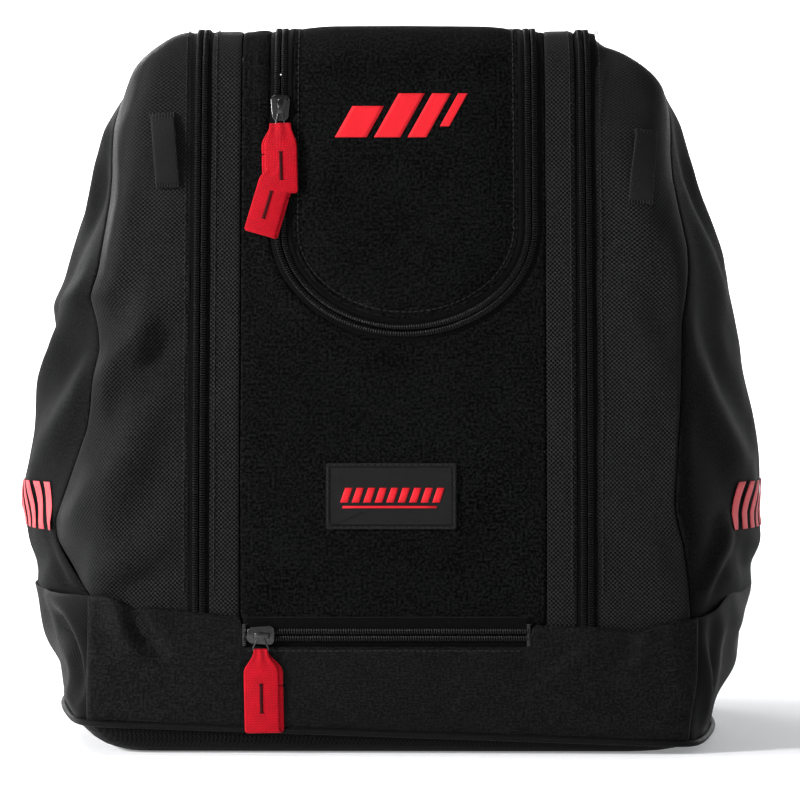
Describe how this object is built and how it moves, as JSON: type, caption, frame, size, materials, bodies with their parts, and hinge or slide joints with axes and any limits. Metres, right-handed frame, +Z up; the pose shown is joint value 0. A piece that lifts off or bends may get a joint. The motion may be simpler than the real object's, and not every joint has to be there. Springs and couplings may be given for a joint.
{
  "type": "ski boot bag",
  "caption": "Soft boot backpack with zipped side boot doors, a U-shaped top lid, a base zipper pocket, shoulder straps and red webbing pulls.",
  "frame": {"origin": "on the ground at the centre of the whole bag's footprint", "axes": "+X to the right seen from the front, +Y towards the wearer's back, +Z up"},
  "size_m": [0.426, 0.3476, 0.39],
  "materials": {
    "fine_fabric": "matt",
    "ballistic_fabric": "matt",
    "base_fabric": "satin",
    "lining": "matt",
    "zipper": "satin",
    "slider_metal": "gloss",
    "red_webbing": "satin",
    "black_webbing": "satin",
    "label_rubber": "satin",
    "board": "matt",
    "buckle_plastic": "satin",
    "mesh_pad": "matt"
  },
  "bodies": {
    "bag": {"base_floor": "base_fabric", "base_board": "board", "front_base_band": "base_fabric", "left_base_band": "ballistic_fabric", "right_base_band": "ballistic_fabric", "back_base_band": "base_fabric", "base_piping": "base_fabric", "pocket_lining": "lining", "pocket_zipper_upper_half": "zipper", "pocket_zipper_lower_half": "zipper", "centre_front_panel": "fine_fabric", "lid_zipper_bag_half": "zipper", "back_panel": "ballistic_fabric", "label_patch": "label_rubber", "spine_pad": "mesh_pad", "left_front_strip": "ballistic_fabric", "left_zipper_bag_half": "zipper", "left_divider_wall": "lining", "left_shoulder_strap": "mesh_pad", "left_ladder_lock": "buckle_plastic", "left_strap_webbing": "black_webbing", "left_buckle_tab": "black_webbing", "left_strap_anchor": "ballistic_fabric", "right_front_strip": "ballistic_fabric", "right_zipper_bag_half": "zipper", "right_divider_wall": "lining", "right_shoulder_strap": "mesh_pad", "right_ladder_lock": "buckle_plastic", "right_strap_webbing": "black_webbing", "right_buckle_tab": "black_webbing", "right_strap_anchor": "ballistic_fabric"},
    "lid": {"lid_panel": "fine_fabric", "lid_zipper_lid_half": "zipper"},
    "lid_upper_slider": {"lid_upper_slider": "slider_metal"},
    "lid_upper_pull": {"lid_upper_pull": "red_webbing"},
    "lid_lower_slider": {"lid_lower_slider": "slider_metal"},
    "lid_lower_pull": {"lid_lower_pull": "red_webbing"},
    "pocket_slider": {"pocket_slider": "slider_metal"},
    "pocket_pull": {"pocket_pull": "red_webbing"},
    "grab_handle": {"grab_handle": "black_webbing"},
    "left_door": {"left_door_front": "ballistic_fabric", "left_door_gusset": "fine_fabric", "left_zipper_door_half": "zipper", "left_webbing_loop": "black_webbing"},
    "left_door_slider": {"left_door_slider": "slider_metal"},
    "left_door_pull": {"left_door_pull": "red_webbing"},
    "right_door": {"right_door_front": "ballistic_fabric", "right_door_gusset": "fine_fabric", "right_zipper_door_half": "zipper", "right_webbing_loop": "black_webbing"},
    "right_door_slider": {"right_door_slider": "slider_metal"},
    "right_door_pull": {"right_door_pull": "red_webbing"}
  },
  "joints": [
    {"name": "lid_hinge", "type": "hinge", "parent": "bag", "child": "lid", "pos_m": [0.0068, 0.1018, 0.39], "axis": [-1, 0, 0], "range_deg": [0, 110]},
    {"name": "lid_upper_slider_slide", "type": "slide", "parent": "lid", "child": "lid_upper_slider", "axis": [0, 0.1203, 0.9927], "range_m": [0, 0.018]},
    {"name": "lid_upper_pull_lift", "type": "hinge", "parent": "lid_upper_slider", "child": "lid_upper_pull", "pos_m": [-0.0605, -0.15011, 0.33498], "axis": [-1, 0, 0], "range_deg": [0, 120]},
    {"name": "lid_lower_slider_slide", "type": "slide", "parent": "lid", "child": "lid_lower_slider", "axis": [0, -0.1203, -0.9927], "range_m": [0, 0.036]},
    {"name": "lid_lower_pull_swing", "type": "hinge", "parent": "lid_lower_slider", "child": "lid_lower_pull", "pos_m": [-0.0605, -0.15226, 0.31394], "axis": [0, -0.9927, 0.1203], "range_deg": [-60, 20]},
    {"name": "pocket_slider_slide", "type": "slide", "parent": "bag", "child": "pocket_slider", "axis": [1, 0, 0], "range_m": [0, 0.132]},
    {"name": "pocket_pull_lift", "type": "hinge", "parent": "pocket_slider", "child": "pocket_pull", "pos_m": [-0.07, -0.1716, 0.055], "axis": [-1, 0, 0], "range_deg": [0, 140]},
    {"name": "grab_handle_lift", "type": "hinge", "parent": "bag", "child": "grab_handle", "pos_m": [0, 0.1419, 0.366], "axis": [1, 0, 0], "range_deg": [0, 165]},
    {"name": "left_door_hinge", "type": "hinge", "parent": "bag", "child": "left_door", "pos_m": [-0.2085, -0.0162, 0.0845], "axis": [0, -1, 0], "range_deg": [0, 60]},
    {"name": "left_door_slider_slide", "type": "slide", "parent": "left_door", "child": "left_door_slider", "axis": [0, 0, 1], "range_m": [0, 0.21]},
    {"name": "left_door_pull_lift", "type": "hinge", "parent": "left_door_slider", "child": "left_door_pull", "pos_m": [-0.103, 0.1392, 0.0895], "axis": [1, 0, 0], "range_deg": [0, 140]},
    {"name": "right_door_hinge", "type": "hinge", "parent": "bag", "child": "right_door", "pos_m": [0.2085, -0.0162, 0.0845], "axis": [0, 1, 0], "range_deg": [0, 60]},
    {"name": "right_door_slider_slide", "type": "slide", "parent": "right_door", "child": "right_door_slider", "axis": [0, 0, 1], "range_m": [0, 0.21]},
    {"name": "right_door_pull_lift", "type": "hinge", "parent": "right_door_slider", "child": "right_door_pull", "pos_m": [0.103, 0.1392, 0.0895], "axis": [1, 0, 0], "range_deg": [0, 140]}
  ]
}
